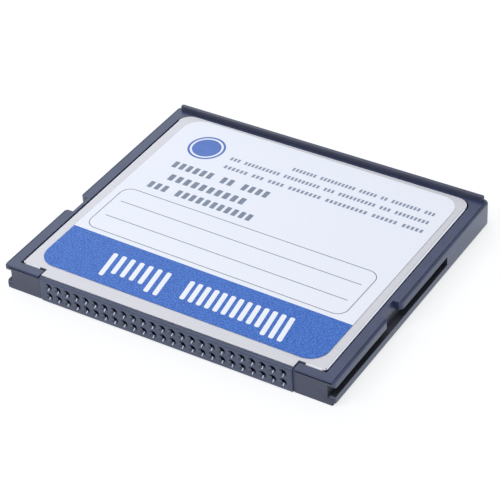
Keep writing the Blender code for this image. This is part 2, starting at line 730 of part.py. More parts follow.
def passive_places():
    """Where the small resistors and capacitors sit on the board's upper side: along its front edge, between
    the controller and the flash chip, and beside the crystal."""
    edge = BOARD_HALF_WIDTH - PASSIVE_SIDE_MARGIN
    front = BOARD_FRONT + PASSIVE_FRONT_MARGIN
    across_front = (-edge, PASSIVE_STEP - edge, MIDDLE_PASSIVES_X - PASSIVE_STEP, MIDDLE_PASSIVES_X)
    across_front += (edge - PASSIVE_STEP, edge)
    places = [(x, front) for x in across_front]
    for row in range(3):
        back = BOARD_FRONT + MIDDLE_PASSIVES_MARGIN + row * PASSIVE_STEP
        places += [(MIDDLE_PASSIVES_X, back), (MIDDLE_PASSIVES_X + PASSIVE_STEP, back)]
    beside_crystal = CRYSTAL_SIDE_MARGIN + CRYSTAL_WIDTH - BOARD_HALF_WIDTH
    places += [(beside_crystal + step * PASSIVE_STEP, BOARD_REAR - PASSIVE_REAR_MARGIN) for step in (1, 2, 3)]
    return [(x, from_front(back)) for x, back in places]


def make_board(collection, cutters):
    """The circuit board on the frame's ledge, with the small passives soldered to it."""
    laminate = make_material("board laminate", (0.020, 0.200, 0.080), 0.40, 0.0)
    outline = rounded_box_outline(
        -BOARD_HALF_WIDTH, BOARD_HALF_WIDTH, from_front(BOARD_FRONT), from_front(BOARD_REAR),
        SIDE_GAP, BOARD_CORNER_RADIUS, 4,
    )
    board = add_part("circuit_board", plate(outline, BOARD_BOTTOM, BOARD_TOP), [laminate], collection)
    bm = bmesh.new()
    for x, y in passive_places():
        add_box(
            bm, x - PASSIVE_LENGTH / 2, x + PASSIVE_LENGTH / 2, y - PASSIVE_WIDTH / 2, y + PASSIVE_WIDTH / 2,
            BOARD_TOP - SINK, BOARD_TOP + PASSIVE_HEIGHT,
        )
    add_boolean(board, add_cutter("passives", bm, cutters), "UNION")


def chip_levels(side):
    """Heights of a chip's near and far face: `side` is +1 on top of the board and -1 below it."""
    if side > 0:
        return BOARD_TOP + SOLDER, INSIDE_TOP - CHIP_HEADROOM
    return BOARD_BOTTOM - SOLDER, INSIDE_BOTTOM + CHIP_HEADROOM


def lead_comb(half_length, half_width, count, side, turns):
    """The leads along a chip's ends or sides: each slopes from the body's middle down to the board."""
    foot, far = chip_levels(side)
    shoulder = (foot + far) / 2
    bm = bmesh.new()
    for quarter in turns:
        edge = half_length if quarter % 2 == 0 else half_width
        inside = edge - CHIP_EDGE_ROUND - 2 * SINK
        profile = [
            (inside, shoulder),
            (inside, shoulder + side * LEAD_METAL),
            (edge + LEAD_REACH / 3, shoulder + side * LEAD_METAL),
            (edge + LEAD_REACH, foot),
            (edge + LEAD_REACH - 2 * LEAD_METAL, foot),
        ]
        spin = Matrix.Rotation(math.radians(90 * quarter), 4, "Z")
        for lead in range(count):
            x = (lead - (count - 1) / 2) * LEAD_PITCH - LEAD_WIDTH / 2
            points = [spin @ Vector((x, y, z)) for y, z in profile]
            extrude_outline(bm, points, spin @ Vector((LEAD_WIDTH, 0, 0)))
    return bm


def make_chip(name, width, length, at, count, side, turns, collection, cutters):
    """A chip's moulded body with its leads, placed on the board. `at` is its middle, in plan."""
    resin = make_material(name + " resin", (0.020, 0.020, 0.022), 0.50, 0.0)
    near, far = chip_levels(side)
    body = box(-width / 2, width / 2, -length / 2, length / 2, min(near, far), max(near, far))
    round_edges(body, body.edges[:], CHIP_EDGE_ROUND, 1)
    comb = lead_comb(length / 2, width / 2, count, side, turns)
    for bm in (body, comb):
        bmesh.ops.translate(bm, verts=bm.verts, vec=(*at, 0))
    chip = add_part(name, body, [resin], collection)
    add_boolean(chip, add_cutter(name + " leads", comb, cutters), "UNION")


def make_chips(collection, cutters):
    """The two flash chips, one on each side of the board, and the controller."""
    flash_y = from_front(BOARD_REAR - FLASH_REAR_MARGIN - FLASH_LENGTH / 2)
    ends, all_sides = (0, 2), (0, 1, 2, 3)
    for name, x, side in (("flash_chip_upper", UPPER_FLASH_X, 1), ("flash_chip_lower", LOWER_FLASH_X, -1)):
        make_chip(
            name, FLASH_WIDTH, FLASH_LENGTH, (x, flash_y), FLASH_LEADS, side, ends, collection, cutters
        )
    controller_y = from_front(BOARD_FRONT + CONTROLLER_FRONT_MARGIN + CONTROLLER_SIDE / 2)
    make_chip(
        "controller_chip", CONTROLLER_SIDE, CONTROLLER_SIDE, (CONTROLLER_X, controller_y),
        CONTROLLER_LEADS, 1, all_sides, collection, cutters,
    )


def make_crystal(collection):
    """The crystal's metal can."""
    can = make_material("crystal can", (0.72, 0.72, 0.74), 0.28, 1.0)
    rear = from_front(BOARD_REAR - CRYSTAL_REAR_MARGIN)
    left = CRYSTAL_SIDE_MARGIN - BOARD_HALF_WIDTH
    near, far = chip_levels(1)
    bm = box(left, left + CRYSTAL_WIDTH, rear - CRYSTAL_LENGTH, rear, near, far)
    round_edges(bm, edges_at_height(bm, far), CHIP_EDGE_ROUND, 2)
    add_part("crystal", bm, [can], collection)


def main():
    clear_scene()
    card = new_collection("compact flash card")
    cutters = new_collection("cutters")
    cutters.hide_render = True
    make_frame(card, cutters)
    make_header(card, cutters)
    make_contacts(card)
    make_covers(card)
    make_label(card)
    make_board(card, cutters)
    make_chips(card, cutters)
    make_crystal(card)


main()
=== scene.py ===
"""Looks of a fifty-contact memory card at rest on a pale table, seen from off its front right corner."""

import math

import bmesh
import bpy
from mathutils import Matrix, Vector


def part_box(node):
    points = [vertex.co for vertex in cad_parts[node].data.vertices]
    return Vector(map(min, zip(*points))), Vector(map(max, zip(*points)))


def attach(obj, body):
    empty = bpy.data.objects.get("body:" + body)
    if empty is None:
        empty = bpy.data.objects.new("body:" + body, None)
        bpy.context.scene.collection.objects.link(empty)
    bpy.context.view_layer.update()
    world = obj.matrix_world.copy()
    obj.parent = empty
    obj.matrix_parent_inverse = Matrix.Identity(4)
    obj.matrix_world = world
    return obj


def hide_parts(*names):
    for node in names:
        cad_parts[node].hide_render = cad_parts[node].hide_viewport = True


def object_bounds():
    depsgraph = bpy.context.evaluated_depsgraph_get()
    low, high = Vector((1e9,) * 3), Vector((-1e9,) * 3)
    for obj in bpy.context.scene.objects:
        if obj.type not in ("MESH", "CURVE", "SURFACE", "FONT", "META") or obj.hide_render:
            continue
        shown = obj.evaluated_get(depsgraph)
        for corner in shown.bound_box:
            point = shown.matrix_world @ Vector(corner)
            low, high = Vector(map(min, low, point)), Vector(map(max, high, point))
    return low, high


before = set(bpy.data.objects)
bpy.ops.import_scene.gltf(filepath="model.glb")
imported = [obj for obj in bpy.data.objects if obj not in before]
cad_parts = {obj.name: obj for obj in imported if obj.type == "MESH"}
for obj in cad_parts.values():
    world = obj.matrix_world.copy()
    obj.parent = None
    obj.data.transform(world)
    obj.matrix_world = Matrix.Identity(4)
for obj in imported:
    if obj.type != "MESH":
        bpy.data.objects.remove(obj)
cad_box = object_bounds()


# The frame is one moulding of dark blue-grey glass-filled plastic that holds the covers, board and header.
# Its skin is duller on the ridge and the front returns, where a darker, greyer copy of it is painted shade,
# and a dark neutral grey is painted shade inside the grooves that guide the card into its slot. A fine
# parting line runs along the top of each rail.

MM = 0.001
WELD_DISTANCE = 0.0005 * MM
SAME_FLAT = math.radians(0.5)
FLAT_TURN = math.radians(3)
ROUND_TURN = math.radians(28)
SHARP_TURN = math.radians(30)
ROUND_FACET = 0.15 * MM
FLAT_FACET = 0.35 * MM


def new_material(name, roughness, metallic=0.0):
    """A material with one Principled BSDF, whose plain values are set here."""
    material = bpy.data.materials.new(name)
    material.use_nodes = True
    shader = material.node_tree.nodes["Principled BSDF"]
    shader.inputs["Roughness"].default_value = roughness
    shader.inputs["Metallic"].default_value = metallic
    return material


def add_node(tree, kind, inputs=(), **settings):
    """Adds a node with its own settings, and with its unlinked sockets' values by name or number."""
    node = tree.nodes.new(kind)
    for name, value in settings.items():
        setattr(node, name, value)
    for socket, value in dict(inputs).items():
        node.inputs[socket].default_value = value
    return node


def new_group(name, inputs, outputs):
    """A shader node group with named float, colour or vector sockets, and its two end nodes."""
    group = bpy.data.node_groups.new(name, "ShaderNodeTree")
    for direction, sockets in (("INPUT", inputs), ("OUTPUT", outputs)):
        for socket_name, kind in sockets.items():
            group.interface.new_socket(socket_name, in_out=direction, socket_type="NodeSocket" + kind)
    return group, group.nodes.new("NodeGroupInput"), group.nodes.new("NodeGroupOutput")


def surface_grain():
    """A group that mottles a surface: two near shades mixed by fine and by cloudy noise, with a roughness
    and a relief to match. The scales count noise cells to a metre."""
    inputs = {
        "Dark": "Color", "Light": "Color", "Grain Scale": "Float", "Cloud Scale": "Float",
        "Gloss": "Float", "Roughness Spread": "Float",
    }
    outputs = {"Color": "Color", "Roughness": "Float", "Height": "Float"}
    group, given, result = new_group("surface grain", inputs, outputs)
    link = group.links.new
    place = add_node(group, "ShaderNodeTexCoord")
    grain = add_node(group, "ShaderNodeTexNoise", {"Detail": 3.0, "Roughness": 0.6})
    cloud = add_node(group, "ShaderNodeTexNoise", {"Detail": 2.0, "Roughness": 0.5})
    for noise, scale in ((grain, "Grain Scale"), (cloud, "Cloud Scale")):
        link(place.outputs["Object"], noise.inputs["Vector"])
        link(given.outputs[scale], noise.inputs["Scale"])
    half_cloud = add_node(group, "ShaderNodeMath", {1: 0.5}, operation="MULTIPLY")
    link(cloud.outputs["Fac"], half_cloud.inputs[0])
    blend = add_node(group, "ShaderNodeMath", {1: 0.5}, operation="MULTIPLY_ADD")
    link(grain.outputs["Fac"], blend.inputs[0])
    link(half_cloud.outputs[0], blend.inputs[2])
    spread = add_node(group, "ShaderNodeMapRange", {"From Min": 0.35, "From Max": 0.65})
    link(blend.outputs[0], spread.inputs["Value"])
    shade = add_node(group, "ShaderNodeMix", data_type="RGBA")
    link(spread.outputs["Result"], shade.inputs["Factor"])
    link(given.outputs["Dark"], shade.inputs["A"])
    link(given.outputs["Light"], shade.inputs["B"])
    link(shade.outputs["Result"], result.inputs["Color"])
    dull = add_node(group, "ShaderNodeMath", operation="MULTIPLY_ADD")
    link(grain.outputs["Fac"], dull.inputs[0])
    link(given.outputs["Roughness Spread"], dull.inputs[1])
    link(given.outputs["Gloss"], dull.inputs[2])
    link(dull.outputs[0], result.inputs["Roughness"])
    link(grain.outputs["Fac"], result.inputs["Height"])
    return group


GRAIN = surface_grain()


def grained_material(
    name, dark, light, grain_scale, cloud_scale, gloss, spread, relief, metallic=0.0, specular=0.5
):
    """A material whose colour, roughness and relief come from the surface grain."""
    material = new_material(name, gloss, metallic)
    tree = material.node_tree
    shader = tree.nodes["Principled BSDF"]
    shader.inputs["Specular IOR Level"].default_value = specular
    grain = add_node(tree, "ShaderNodeGroup", node_tree=GRAIN)
    values = {
        "Dark": (*dark, 1), "Light": (*light, 1), "Grain Scale": grain_scale, "Cloud Scale": cloud_scale,
        "Gloss": gloss, "Roughness Spread": spread,
    }
    for socket, value in values.items():
        grain.inputs[socket].default_value = value
    bump = add_node(tree, "ShaderNodeBump", {"Strength": 1.0, "Distance": relief})
    tree.links.new(grain.outputs["Color"], shader.inputs["Base Color"])
    tree.links.new(grain.outputs["Roughness"], shader.inputs["Roughness"])
    tree.links.new(grain.outputs["Height"], bump.inputs["Height"])
    tree.links.new(bump.outputs["Normal"], shader.inputs["Normal"])
    return material


def facet_width(face):
    """How wide a facet is, measured across its longest side."""
    return face.calc_area() / max(edge.calc_length() for edge in face.edges)


def shade_rounds(bm):
    """Shades the facets of each round as one smooth surface, and stops it where a flat begins."""
    for face in bm.faces:
        face.smooth = True
    for edge in bm.edges:
        if len(edge.link_faces) == 2:
            turn = edge.calc_face_angle(0)
            narrow, wide = sorted(facet_width(face) for face in edge.link_faces)
            meets_flat = turn > FLAT_TURN and narrow < ROUND_FACET and wide > FLAT_FACET
            edge.smooth = turn < ROUND_TURN and not meets_flat


def add_piece(name, bm, materials, slot, *replaced):
    """Makes a bmesh a piece that moves with the card and stands for the CAD nodes named."""
    shade_rounds(bm)
    mesh = bpy.data.meshes.new(name)
    bm.to_mesh(mesh)
    bm.free()
    for material in materials:
        mesh.materials.append(material)
    piece = bpy.data.objects.new(name, mesh)
    bpy.context.scene.collection.objects.link(piece)
    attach(piece, "root")
    if replaced:
        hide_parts(*replaced)
    return piece


def shape_of(node):
    """A bmesh copy of a CAD node with its triangles merged back into whole flat faces."""
    bm = bmesh.new()
    bm.from_mesh(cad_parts[node].data)
    bmesh.ops.remove_doubles(bm, verts=bm.verts, dist=WELD_DISTANCE)
    bmesh.ops.dissolve_limit(
        bm, angle_limit=SAME_FLAT, verts=bm.verts, edges=bm.edges, use_dissolve_boundaries=False
    )
    return bm


def break_edges(piece, width):
    """Finishes a piece with the small round that a mould or a press leaves on every edge."""
    rounding = piece.modifiers.new("Broken edges", "BEVEL")
    rounding.width = width
    rounding.segments = 2
    rounding.limit_method = "ANGLE"
    rounding.angle_limit = SHARP_TURN
    rounding.harden_normals = True
    rounding.use_clamp_overlap = True


def add_block(bm, low, high):
    """Adds a box between two corners and gives its points."""
    low, high = Vector(low), Vector(high)
    place = Matrix.Translation((low + high) / 2) @ Matrix.Diagonal((*(high - low), 1))
    return bmesh.ops.create_cube(bm, size=1, matrix=place)["verts"]


def plain_object(name, bm, material):
    """An object of one material made from a bmesh, which it uses up."""
    mesh = bpy.data.meshes.new(name)
    bm.to_mesh(mesh)
    bm.free()
    mesh.materials.append(material)
    obj = bpy.data.objects.new(name, mesh)
    bpy.context.scene.collection.objects.link(obj)
    return obj


def worked_shape(blank, blank_material, steps):
    """Joins shapes to a blank or cuts them from it, one step after another, and gives the result. A cut
    leaves its walls in the tool's own material."""
    objects = [plain_object("blank", blank, blank_material)]
    for operation, shape, material in steps:
        tool = plain_object("tool", shape, material)
        objects.append(tool)
        work = objects[0].modifiers.new("work", "BOOLEAN")
        work.operation = operation
        work.object = tool
        work.solver = "EXACT"
        work.material_mode = "TRANSFER"
    bpy.context.view_layer.update()
    done = objects[0].evaluated_get(bpy.context.evaluated_depsgraph_get())
    bm = bmesh.new()
    bm.from_mesh(done.to_mesh())
    for obj in objects:
        bpy.data.meshes.remove(obj.data)
    return bm


COVER_PROUD = 0.06 * MM
LIP_HEIGHT = 0.13 * MM
LIP_REACH = 0.12 * MM
LIP_GAP_HEIGHT = 0.28 * MM
LIP_GAP_DEPTH = 0.40 * MM
PARTING_INSET = 0.21 * MM
PARTING_WIDTH = 0.09 * MM
PARTING_DEPTH = 0.07 * MM
PLAIN_CORNER = 0.60 * MM
LOWER_CHAMFER = 0.27 * MM
GROOVE_INSET = (0.1 * MM, 1.0 * MM)
GROOVE_DROP = (0.98 * MM, 2.60 * MM)
FRAME_EDGE_ROUND = 0.05 * MM
frame_low, frame_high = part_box("frame")
rail_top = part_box("top_cover")[1].z - COVER_PROUD
lip_bottom = rail_top - LIP_HEIGHT


def frame_skin(name, dark, light, gloss, relief):
    """The frame's plastic, with the colour, gloss and relief given for one place. Two of its copies are
    painted shade.
    """
    return grained_material(
        name, dark, light, grain_scale=9000, cloud_scale=350, gloss=gloss, spread=0.20, relief=relief,
        specular=0.45,
    )


def gap_and_line_tool():
    """The tool that cuts the gap under the lip of the front returns and the two parting lines."""
    bm = bmesh.new()
    add_block(bm, (frame_low.x + PLAIN_CORNER, frame_low.y - MM, lip_bottom - LIP_GAP_HEIGHT),
              (frame_high.x - PLAIN_CORNER / 2, frame_low.y + LIP_GAP_DEPTH, lip_bottom))
    for left in (frame_low.x + PARTING_INSET, frame_high.x - PARTING_INSET - PARTING_WIDTH):
        add_block(bm, (left, frame_low.y + PLAIN_CORNER, rail_top - PARTING_DEPTH),
                  (left + PARTING_WIDTH, frame_high.y - PLAIN_CORNER, rail_top + COVER_PROUD / 2))
    return bm


def chamfer_tool():
    """The tool that takes off the lower outer edges. The left one stays plain at its front corner."""
    bm = bmesh.new()
    size = LOWER_CHAMFER * math.sqrt(2)
    for side, start in ((-1, frame_low.y + PLAIN_CORNER), (1, frame_low.y - MM)):
        block = add_block(bm, (-size, start, -size / 2), (size, frame_high.y + MM, size / 2))
        bmesh.ops.rotate(bm, verts=block, matrix=Matrix.Rotation(side * math.radians(45), 3, "Y"))
        bmesh.ops.translate(bm, verts=block, vec=(side * frame_high.x, 0, frame_low.z))
    return bm


frame_plastic = frame_skin(
    "frame plastic", (0.0255, 0.0345, 0.082), (0.038, 0.051, 0.117), gloss=0.22, relief=0.003 * MM
)
# Painted shade: the grooves' walls get a darker, neutral grey copy of the frame plastic.
groove_painted_shade = frame_skin(
    "groove painted shade", (0.025, 0.026, 0.035), (0.040, 0.041, 0.053), gloss=0.40, relief=0.003 * MM
)
# Painted shade: a darker, greyer and rougher copy of the frame plastic on the ridge and on the returns'
# front faces under the lip.
dull_painted_shade_plastic = frame_skin(
    "dull skin painted shade", (0.028, 0.0315, 0.060), (0.042, 0.047, 0.086), gloss=0.30, relief=0.004 * MM
)


def skin_at(place):
    """The frame's skin at a place: painted shade in the grooves, and a duller skin with painted shade on the
    ridge and below the returns' lip.
    """
    inward = frame_high.x - abs(place.x)
    below = rail_top - place.z
    behind = place.y - frame_low.y
    in_groove = GROOVE_INSET[0] < inward < GROOVE_INSET[1] and GROOVE_DROP[0] < below < GROOVE_DROP[1]
    if in_groove and behind > LIP_GAP_DEPTH:
        return groove_painted_shade
    on_return = behind < 2 * LIP_REACH and place.z < lip_bottom
    on_ridge = place.z > rail_top + LIP_REACH / 4
    return dull_painted_shade_plastic if on_return or on_ridge else frame_plastic


moulding = worked_shape(shape_of("frame"), frame_plastic, [
    ("DIFFERENCE", gap_and_line_tool(), frame_plastic), ("DIFFERENCE", chamfer_tool(), frame_plastic),
])
skins = [frame_plastic, groove_painted_shade, dull_painted_shade_plastic]
for face in moulding.faces:
    face.material_index = skins.index(skin_at(face.calc_center_median()))
moulded_frame = add_piece("moulded_frame", moulding, skins, "frame_plastic", "frame")
break_edges(moulded_frame, FRAME_EDGE_ROUND)


# The socket header is a second moulding, a shade lighter. Fifty pin sockets go through it in two rows, each
# with a funnel mouth that leads a pin in. It is pressed in between the frame's two front returns.

PITCH = 1.27 * MM
COLUMNS = 25
MOUTH_RADIUS = 0.50 * MM
BORE_RADIUS = 0.28 * MM
MOUTH_DEPTH = 0.25 * MM
MOUTH_OVERRUN = 0.20 * MM
MOUTH_FACETS = 28
RIM_HALF_WIDTH = 16.40 * MM
RIM_DEPTH = 0.45 * MM
RIM_END_ROUND = 0.15 * MM
BODY_HALF_WIDTH = 16.56 * MM
BODY_SETBACK = 0.22 * MM
BODY_DROP = 0.22 * MM
EAR_SETBACK = 1.32 * MM
EAR_DROP = 0.165 * MM
BROW_ROUND = 0.30 * MM
TOE_ROUND = 0.12 * MM
SLIVER = 0.01 * MM
header_low, header_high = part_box("connector_header")
header_middle = (header_low.z + header_high.z) / 2


def round_off(bm, edges, radius, segments):
    """Rounds edges with an arc."""
    bmesh.ops.bevel(
        bm, geom=edges, offset=radius, segments=segments, profile=0.5, affect="EDGES", material=-1
    )


def edges_where(bm, is_there):
    """The edges whose two ends both pass a test on their place."""
    return [edge for edge in bm.edges if all(is_there(vert.co) for vert in edge.verts)]


def on_front(place):
    """Whether a place is on the header's front face."""
    return place.y < header_low.y + SLIVER


def header_rim():
    """The rim round the sockets, with its brow and its toe rounded."""
    bm = bmesh.new()
    add_block(bm, (-RIM_HALF_WIDTH, header_low.y, header_low.z),
              (RIM_HALF_WIDTH, header_low.y + RIM_DEPTH, header_high.z))
    brow = edges_where(bm, lambda place: on_front(place) and place.z > header_middle)
    round_off(bm, brow, BROW_ROUND, segments=8)
    toe = edges_where(bm, lambda place: on_front(place) and place.z < header_low.z + SLIVER)
    round_off(bm, toe, TOE_ROUND, segments=5)
    return bm


def rim_end_tool():
    """The tool that gives the rim its rounded ends: a tall block whose two front uprights are rounded."""
    bm = bmesh.new()
    add_block(bm, (-RIM_HALF_WIDTH, header_low.y, header_low.z - MM),
              (RIM_HALF_WIDTH, header_high.y, header_high.z + MM))
    left = edges_where(bm, lambda place: on_front(place) and place.x < 0)
    right = edges_where(bm, lambda place: on_front(place) and place.x > 0)
    round_off(bm, left + right, RIM_END_ROUND, segments=6)
    return bm


def header_body():
    """The body behind the rim."""
    bm = bmesh.new()
    add_block(bm, (-BODY_HALF_WIDTH, header_low.y + BODY_SETBACK, header_low.z + SLIVER),
              (BODY_HALF_WIDTH, header_high.y, header_high.z - BODY_DROP))
    return bm


def header_ears():
    """The ears that hold the header behind the frame's returns."""
    bm = bmesh.new()
    add_block(bm, (header_low.x, header_low.y + EAR_SETBACK, header_low.z + EAR_DROP),
              (header_high.x, header_high.y - SLIVER, header_high.z - EAR_DROP))
    return bm


def socket_tool():
    """The tool that leaves all the sockets: a funnel, extruded into a bore, at each place."""
    bm = bmesh.new()
    widening = (MOUTH_RADIUS - BORE_RADIUS) * MOUTH_OVERRUN / MOUTH_DEPTH
    lay_down = Matrix.Rotation(-math.pi / 2, 4, "X")
    for row in (-0.5, 0.5):
        for column in range(COLUMNS):
            x = (column - (COLUMNS - 1) / 2) * PITCH
            y = header_low.y + (MOUTH_DEPTH - MOUTH_OVERRUN) / 2
            place = Matrix.Translation((x, y, header_middle + row * PITCH))
            cone = bmesh.ops.create_cone(
                bm, cap_ends=True, segments=MOUTH_FACETS, radius1=MOUTH_RADIUS + widening,
                radius2=BORE_RADIUS, depth=MOUTH_DEPTH + MOUTH_OVERRUN, matrix=place @ lay_down,
            )["verts"]
            faces = {face for vert in cone for face in vert.link_faces}
            end = max(faces, key=lambda face: face.calc_center_median().y)
            bore = bmesh.ops.extrude_discrete_faces(bm, faces=[end])["faces"][0]
            bmesh.ops.translate(bm, verts=bore.verts, vec=(0, header_high.y - header_low.y, 0))
    bmesh.ops.recalc_face_normals(bm, faces=bm.faces)
    return bm


header_plastic = grained_material(
    "header plastic", (0.035, 0.045, 0.088), (0.050, 0.063, 0.119), grain_scale=9000, cloud_scale=400,
    gloss=0.32, spread=0.16, relief=0.002 * MM,
)
# The socket funnels and bores are glossy, and their much darker colour is painted shade inside the holes.
polished_socket_painted_shade = grained_material(
    "polished socket painted shade", (0.010, 0.019, 0.058), (0.018, 0.029, 0.080), grain_scale=9000, cloud_scale=400,
    gloss=0.04, spread=0.08, relief=0.0005 * MM, specular=1.0,
)
header = worked_shape(header_rim(), header_plastic, [
    ("INTERSECT", rim_end_tool(), header_plastic),
    ("UNION", header_body(), header_plastic),
    ("UNION", header_ears(), header_plastic),
    ("DIFFERENCE", socket_tool(), polished_socket_painted_shade),
])
add_piece("socket_header", header, [header_plastic, polished_socket_painted_shade], "header_plastic", "connector_header")


# The contacts are stamped from springy copper alloy and plated bright. One is pushed into each socket from
# behind, and its tail is soldered to the board.

def dress(node, material):
    """Gives a CAD node its material in all its slots."""
    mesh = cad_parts[node].data
    for slot in range(len(mesh.materials)):
        mesh.materials[slot] = material


contact_plating = grained_material(
    "contact plating", (0.70, 0.72, 0.78), (0.86, 0.88, 0.94), grain_scale=6000, cloud_scale=900,
    gloss=0.16, spread=0.12, relief=0.001 * MM, metallic=1.0,
)
for number in range(1, 2 * COLUMNS + 1):
    dress(f"contact_{number:02d}", contact_plating)


# The two covers are stamped from thin stainless sheet, and their sides are bent down and clipped into the
# frame. The sheet keeps the faint streaks of the rolling mill, and its side bends are given a much paler,
# smoother steel as a painted highlight.

STREAKS = 20000
STREAK_STRETCH = 40
BEND_FLATTEST = 0.15
BEND_STEEPEST = 0.90
COVER_EDGE_ROUND = 0.02 * MM


def rolled_sheet(name, dark, light, gloss, spread):
    """A steel sheet's material, streaked along X by stretched noise."""
    material = new_material(name, gloss, 1.0)
    tree = material.node_tree
    shader = tree.nodes["Principled BSDF"]
    link = tree.links.new
    place = add_node(tree, "ShaderNodeTexCoord")
    stretch = add_node(tree, "ShaderNodeMapping", {"Scale": (STREAKS / STREAK_STRETCH, STREAKS, STREAKS)})
    lines = add_node(tree, "ShaderNodeTexNoise", {"Scale": 1.0, "Detail": 4.0, "Roughness": 0.65})
    link(place.outputs["Object"], stretch.inputs["Vector"])
    link(stretch.outputs["Vector"], lines.inputs["Vector"])
    spread_out = add_node(tree, "ShaderNodeMapRange", {"From Min": 0.3, "From Max": 0.7})
    link(lines.outputs["Fac"], spread_out.inputs["Value"])
    shade = add_node(tree, "ShaderNodeMix", {"A": (*dark, 1), "B": (*light, 1)}, data_type="RGBA")
    link(spread_out.outputs["Result"], shade.inputs["Factor"])
    link(shade.outputs["Result"], shader.inputs["Base Color"])
    dull = add_node(tree, "ShaderNodeMath", {1: spread, 2: gloss}, operation="MULTIPLY_ADD")
    link(lines.outputs["Fac"], dull.inputs[0])
    link(dull.outputs[0], shader.inputs["Roughness"])
    relief = add_node(tree, "ShaderNodeBump", {"Strength": 1.0, "Distance": 0.001 * MM})
    link(lines.outputs["Fac"], relief.inputs["Height"])
    link(relief.outputs["Normal"], shader.inputs["Normal"])
    return material


def is_side_bend(face):
    """Whether a face of a cover belongs to the bend along one of its sides."""
    faces_sideways = abs(face.normal.x) > abs(face.normal.y)
    return faces_sideways and BEND_FLATTEST < abs(face.normal.z) < BEND_STEEPEST


cover_steel = rolled_sheet(
    "cover steel", (0.530, 0.510, 0.516), (0.612, 0.590, 0.596), gloss=0.54, spread=0.14
)
# Painted highlight: the side bends get a much paler, smoother steel than the flat of the sheet.
bend_painted_highlight = rolled_sheet(
    "bend painted highlight", (0.84, 0.83, 0.85), (0.92, 0.91, 0.93), gloss=0.26, spread=0.10
)
for cover in ("top_cover", "bottom_cover"):
    sheet = shape_of(cover)
    for face in sheet.faces:
        face.material_index = 1 if is_side_bend(face) else 0
    pressed = add_piece(cover + "_sheet", sheet, [cover_steel, bend_painted_highlight], "cover_steel", cover)
    break_edges(pressed, COVER_EDGE_ROUND)


# The label is a die-cut sheet of coated paper, stuck on the upper cover a little askew, with a speckled blue
# banner printed along its front edge up to the rounded corners.

LABEL_WIDTH = 37.06 * MM
LABEL_LENGTH = 32.46 * MM
LABEL_CORNER = 2.30 * MM
LABEL_SHIFT = Vector((-0.08, 0.07)) * MM
LABEL_TURN = math.radians(-0.50)
PRINT_TURN = math.radians(-0.95)
BANNER_EDGE = -8.90
label_low, label_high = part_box("label")
label_centre = (label_low + label_high) / 2


def round_corners(bm, radius, segments):
    """Rounds every corner of a flat bmesh in plan."""
    bmesh.ops.bevel(
        bm, geom=bm.verts[:], offset=radius, segments=segments, profile=0.5, affect="VERTICES", material=-1
    )


def grow_up(bm, height):
    """Extrudes every face of a flat bmesh upwards into closed bodies."""
    grown = bmesh.ops.extrude_face_region(bm, geom=bm.faces[:])["geom"]
    moved = [item for item in grown if isinstance(item, bmesh.types.BMVert)]
    bmesh.ops.translate(bm, verts=moved, vec=(0, 0, height))
    bmesh.ops.recalc_face_normals(bm, faces=bm.faces)


def paper_with_banner():
    """Coated paper whose front part is printed blue, with the speckle that the print shows. The pattern is
    in millimetres from the middle of the print, along the print's own turned axes."""
    material = new_material("label paper", 0.38)
    tree = material.node_tree
    shader = tree.nodes["Principled BSDF"]
    shader.inputs["Specular IOR Level"].default_value = 0.3
    link = tree.links.new
    place = add_node(tree, "ShaderNodeTexCoord")
    onto_print = add_node(tree, "ShaderNodeMapping", vector_type="TEXTURE")
    onto_print.inputs["Location"].default_value = label_centre
    onto_print.inputs["Rotation"].default_value = (0, 0, PRINT_TURN)
    onto_print.inputs["Scale"].default_value = (MM, MM, MM)
    link(place.outputs["Object"], onto_print.inputs["Vector"])
    split = add_node(tree, "ShaderNodeSeparateXYZ")
    link(onto_print.outputs["Vector"], split.inputs["Vector"])
    printed = add_node(tree, "ShaderNodeMath", {1: BANNER_EDGE}, operation="LESS_THAN")
    link(split.outputs["Y"], printed.inputs[0])
    speckle = add_node(tree, "ShaderNodeTexNoise", {"Scale": 7.0, "Detail": 1.0, "Roughness": 0.5})
    link(onto_print.outputs["Vector"], speckle.inputs["Vector"])
    spread = add_node(tree, "ShaderNodeMapRange", {"From Min": 0.35, "From Max": 0.65})
    link(speckle.outputs["Fac"], spread.inputs["Value"])
    blue_shades = {"A": (0.001, 0.066, 0.350, 1), "B": (0.070, 0.220, 0.670, 1)}
    blue = add_node(tree, "ShaderNodeMix", blue_shades, data_type="RGBA")
    white_shades = {"A": (0.880, 0.875, 0.910, 1), "B": (0.910, 0.905, 0.940, 1)}
    white = add_node(tree, "ShaderNodeMix", white_shades, data_type="RGBA")
    either = add_node(tree, "ShaderNodeMix", data_type="RGBA")
    for shade in (blue, white):
        link(spread.outputs["Result"], shade.inputs["Factor"])
    link(printed.outputs[0], either.inputs["Factor"])
    link(white.outputs["Result"], either.inputs["A"])
    link(blue.outputs["Result"], either.inputs["B"])
    link(either.outputs["Result"], shader.inputs["Base Color"])
    fibres = add_node(tree, "ShaderNodeBump", {"Strength": 1.0, "Distance": 0.002 * MM})
    link(speckle.outputs["Fac"], fibres.inputs["Height"])
    link(fibres.outputs["Normal"], shader.inputs["Normal"])
    return material


def label_sheet():
    """The sheet of the label, cut with rounded corners and laid a little askew."""
    bm = bmesh.new()
    bmesh.ops.create_grid(bm, x_segments=1, y_segments=1, size=0.5)
    bmesh.ops.scale(bm, verts=bm.verts, vec=(LABEL_WIDTH, LABEL_LENGTH, 1))
    round_corners(bm, LABEL_CORNER, segments=16)
    bmesh.ops.rotate(bm, verts=bm.verts, matrix=Matrix.Rotation(LABEL_TURN, 3, "Z"))
    laid = (label_centre.x + LABEL_SHIFT.x, label_centre.y + LABEL_SHIFT.y, label_low.z)
    bmesh.ops.translate(bm, verts=bm.verts, vec=laid)
    grow_up(bm, label_high.z - label_low.z)
    return bm


add_piece("label_paper", label_sheet(), [paper_with_banner()], "label_paper", "label")


# What is printed on the label is ink, a film a few microns thick: plain white bars on the banner, a ruled
# box, rows of small dark and grey blocks, and a plain blue ring mark. Places in the print are in millimetres
# right and back of its middle.

